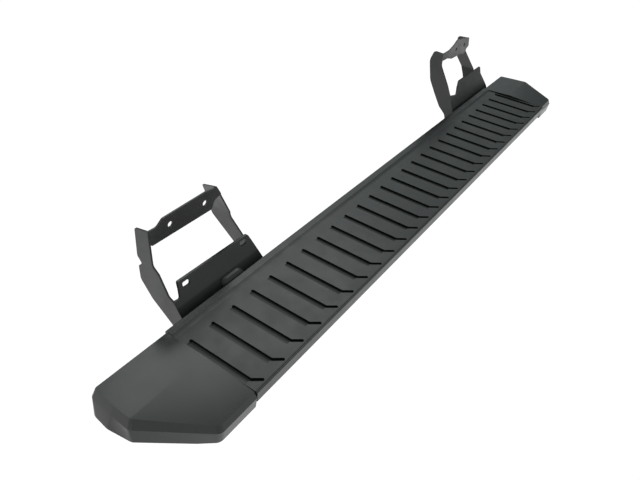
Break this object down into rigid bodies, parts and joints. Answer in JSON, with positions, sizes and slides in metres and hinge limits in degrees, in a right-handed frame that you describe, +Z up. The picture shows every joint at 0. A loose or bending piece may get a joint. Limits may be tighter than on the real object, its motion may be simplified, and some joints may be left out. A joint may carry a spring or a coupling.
{
  "type": "running board",
  "caption": "Pickup running board: boxed extrusion with a ribbed step pad and angled end caps, carried by welded steel brackets that slide in its T-channels.",
  "frame": {"origin": "middle of the board's flat underside, mid length and mid width", "axes": "+X along the board from the front cap to the rear cap, +Y inboard towards the vehicle, +Z up"},
  "size_m": [1.403, 0.2689, 0.2017],
  "materials": {
    "extrusion": "satin black powder coat on aluminium",
    "tread": "fine-grained matte black moulding",
    "end_cap": "fine-grained matte black moulding",
    "bracket": "satin black powder coat on steel",
    "fastener": "zinc plated",
    "screw": "black oxide"
  },
  "bodies": {
    "board": {"board_extrusion": "extrusion", "step_pad": "tread", "front_end_cap": "end_cap", "rear_end_cap": "end_cap", "front_cap_screws": "screw", "rear_cap_screws": "screw"},
    "front_bracket": {"front_first_arm": "bracket", "front_second_arm": "bracket", "front_hanger_plate": "bracket", "front_saddle": "bracket", "front_t_bolts": "fastener", "front_washers": "fastener", "front_flange_nuts": "fastener"},
    "rear_bracket": {"rear_first_arm": "bracket", "rear_second_arm": "bracket", "rear_hanger_plate": "bracket", "rear_saddle": "bracket", "rear_t_bolts": "fastener", "rear_washers": "fastener", "rear_flange_nuts": "fastener"}
  },
  "joints": [
    {"name": "front_bracket_slide", "type": "slide", "parent": "board", "child": "front_bracket", "axis": [1, 0, 0], "range_m": [-0.018, 0.25]},
    {"name": "rear_bracket_slide", "type": "slide", "parent": "board", "child": "rear_bracket", "axis": [1, 0, 0], "range_m": [-0.25, 0.003]}
  ]
}
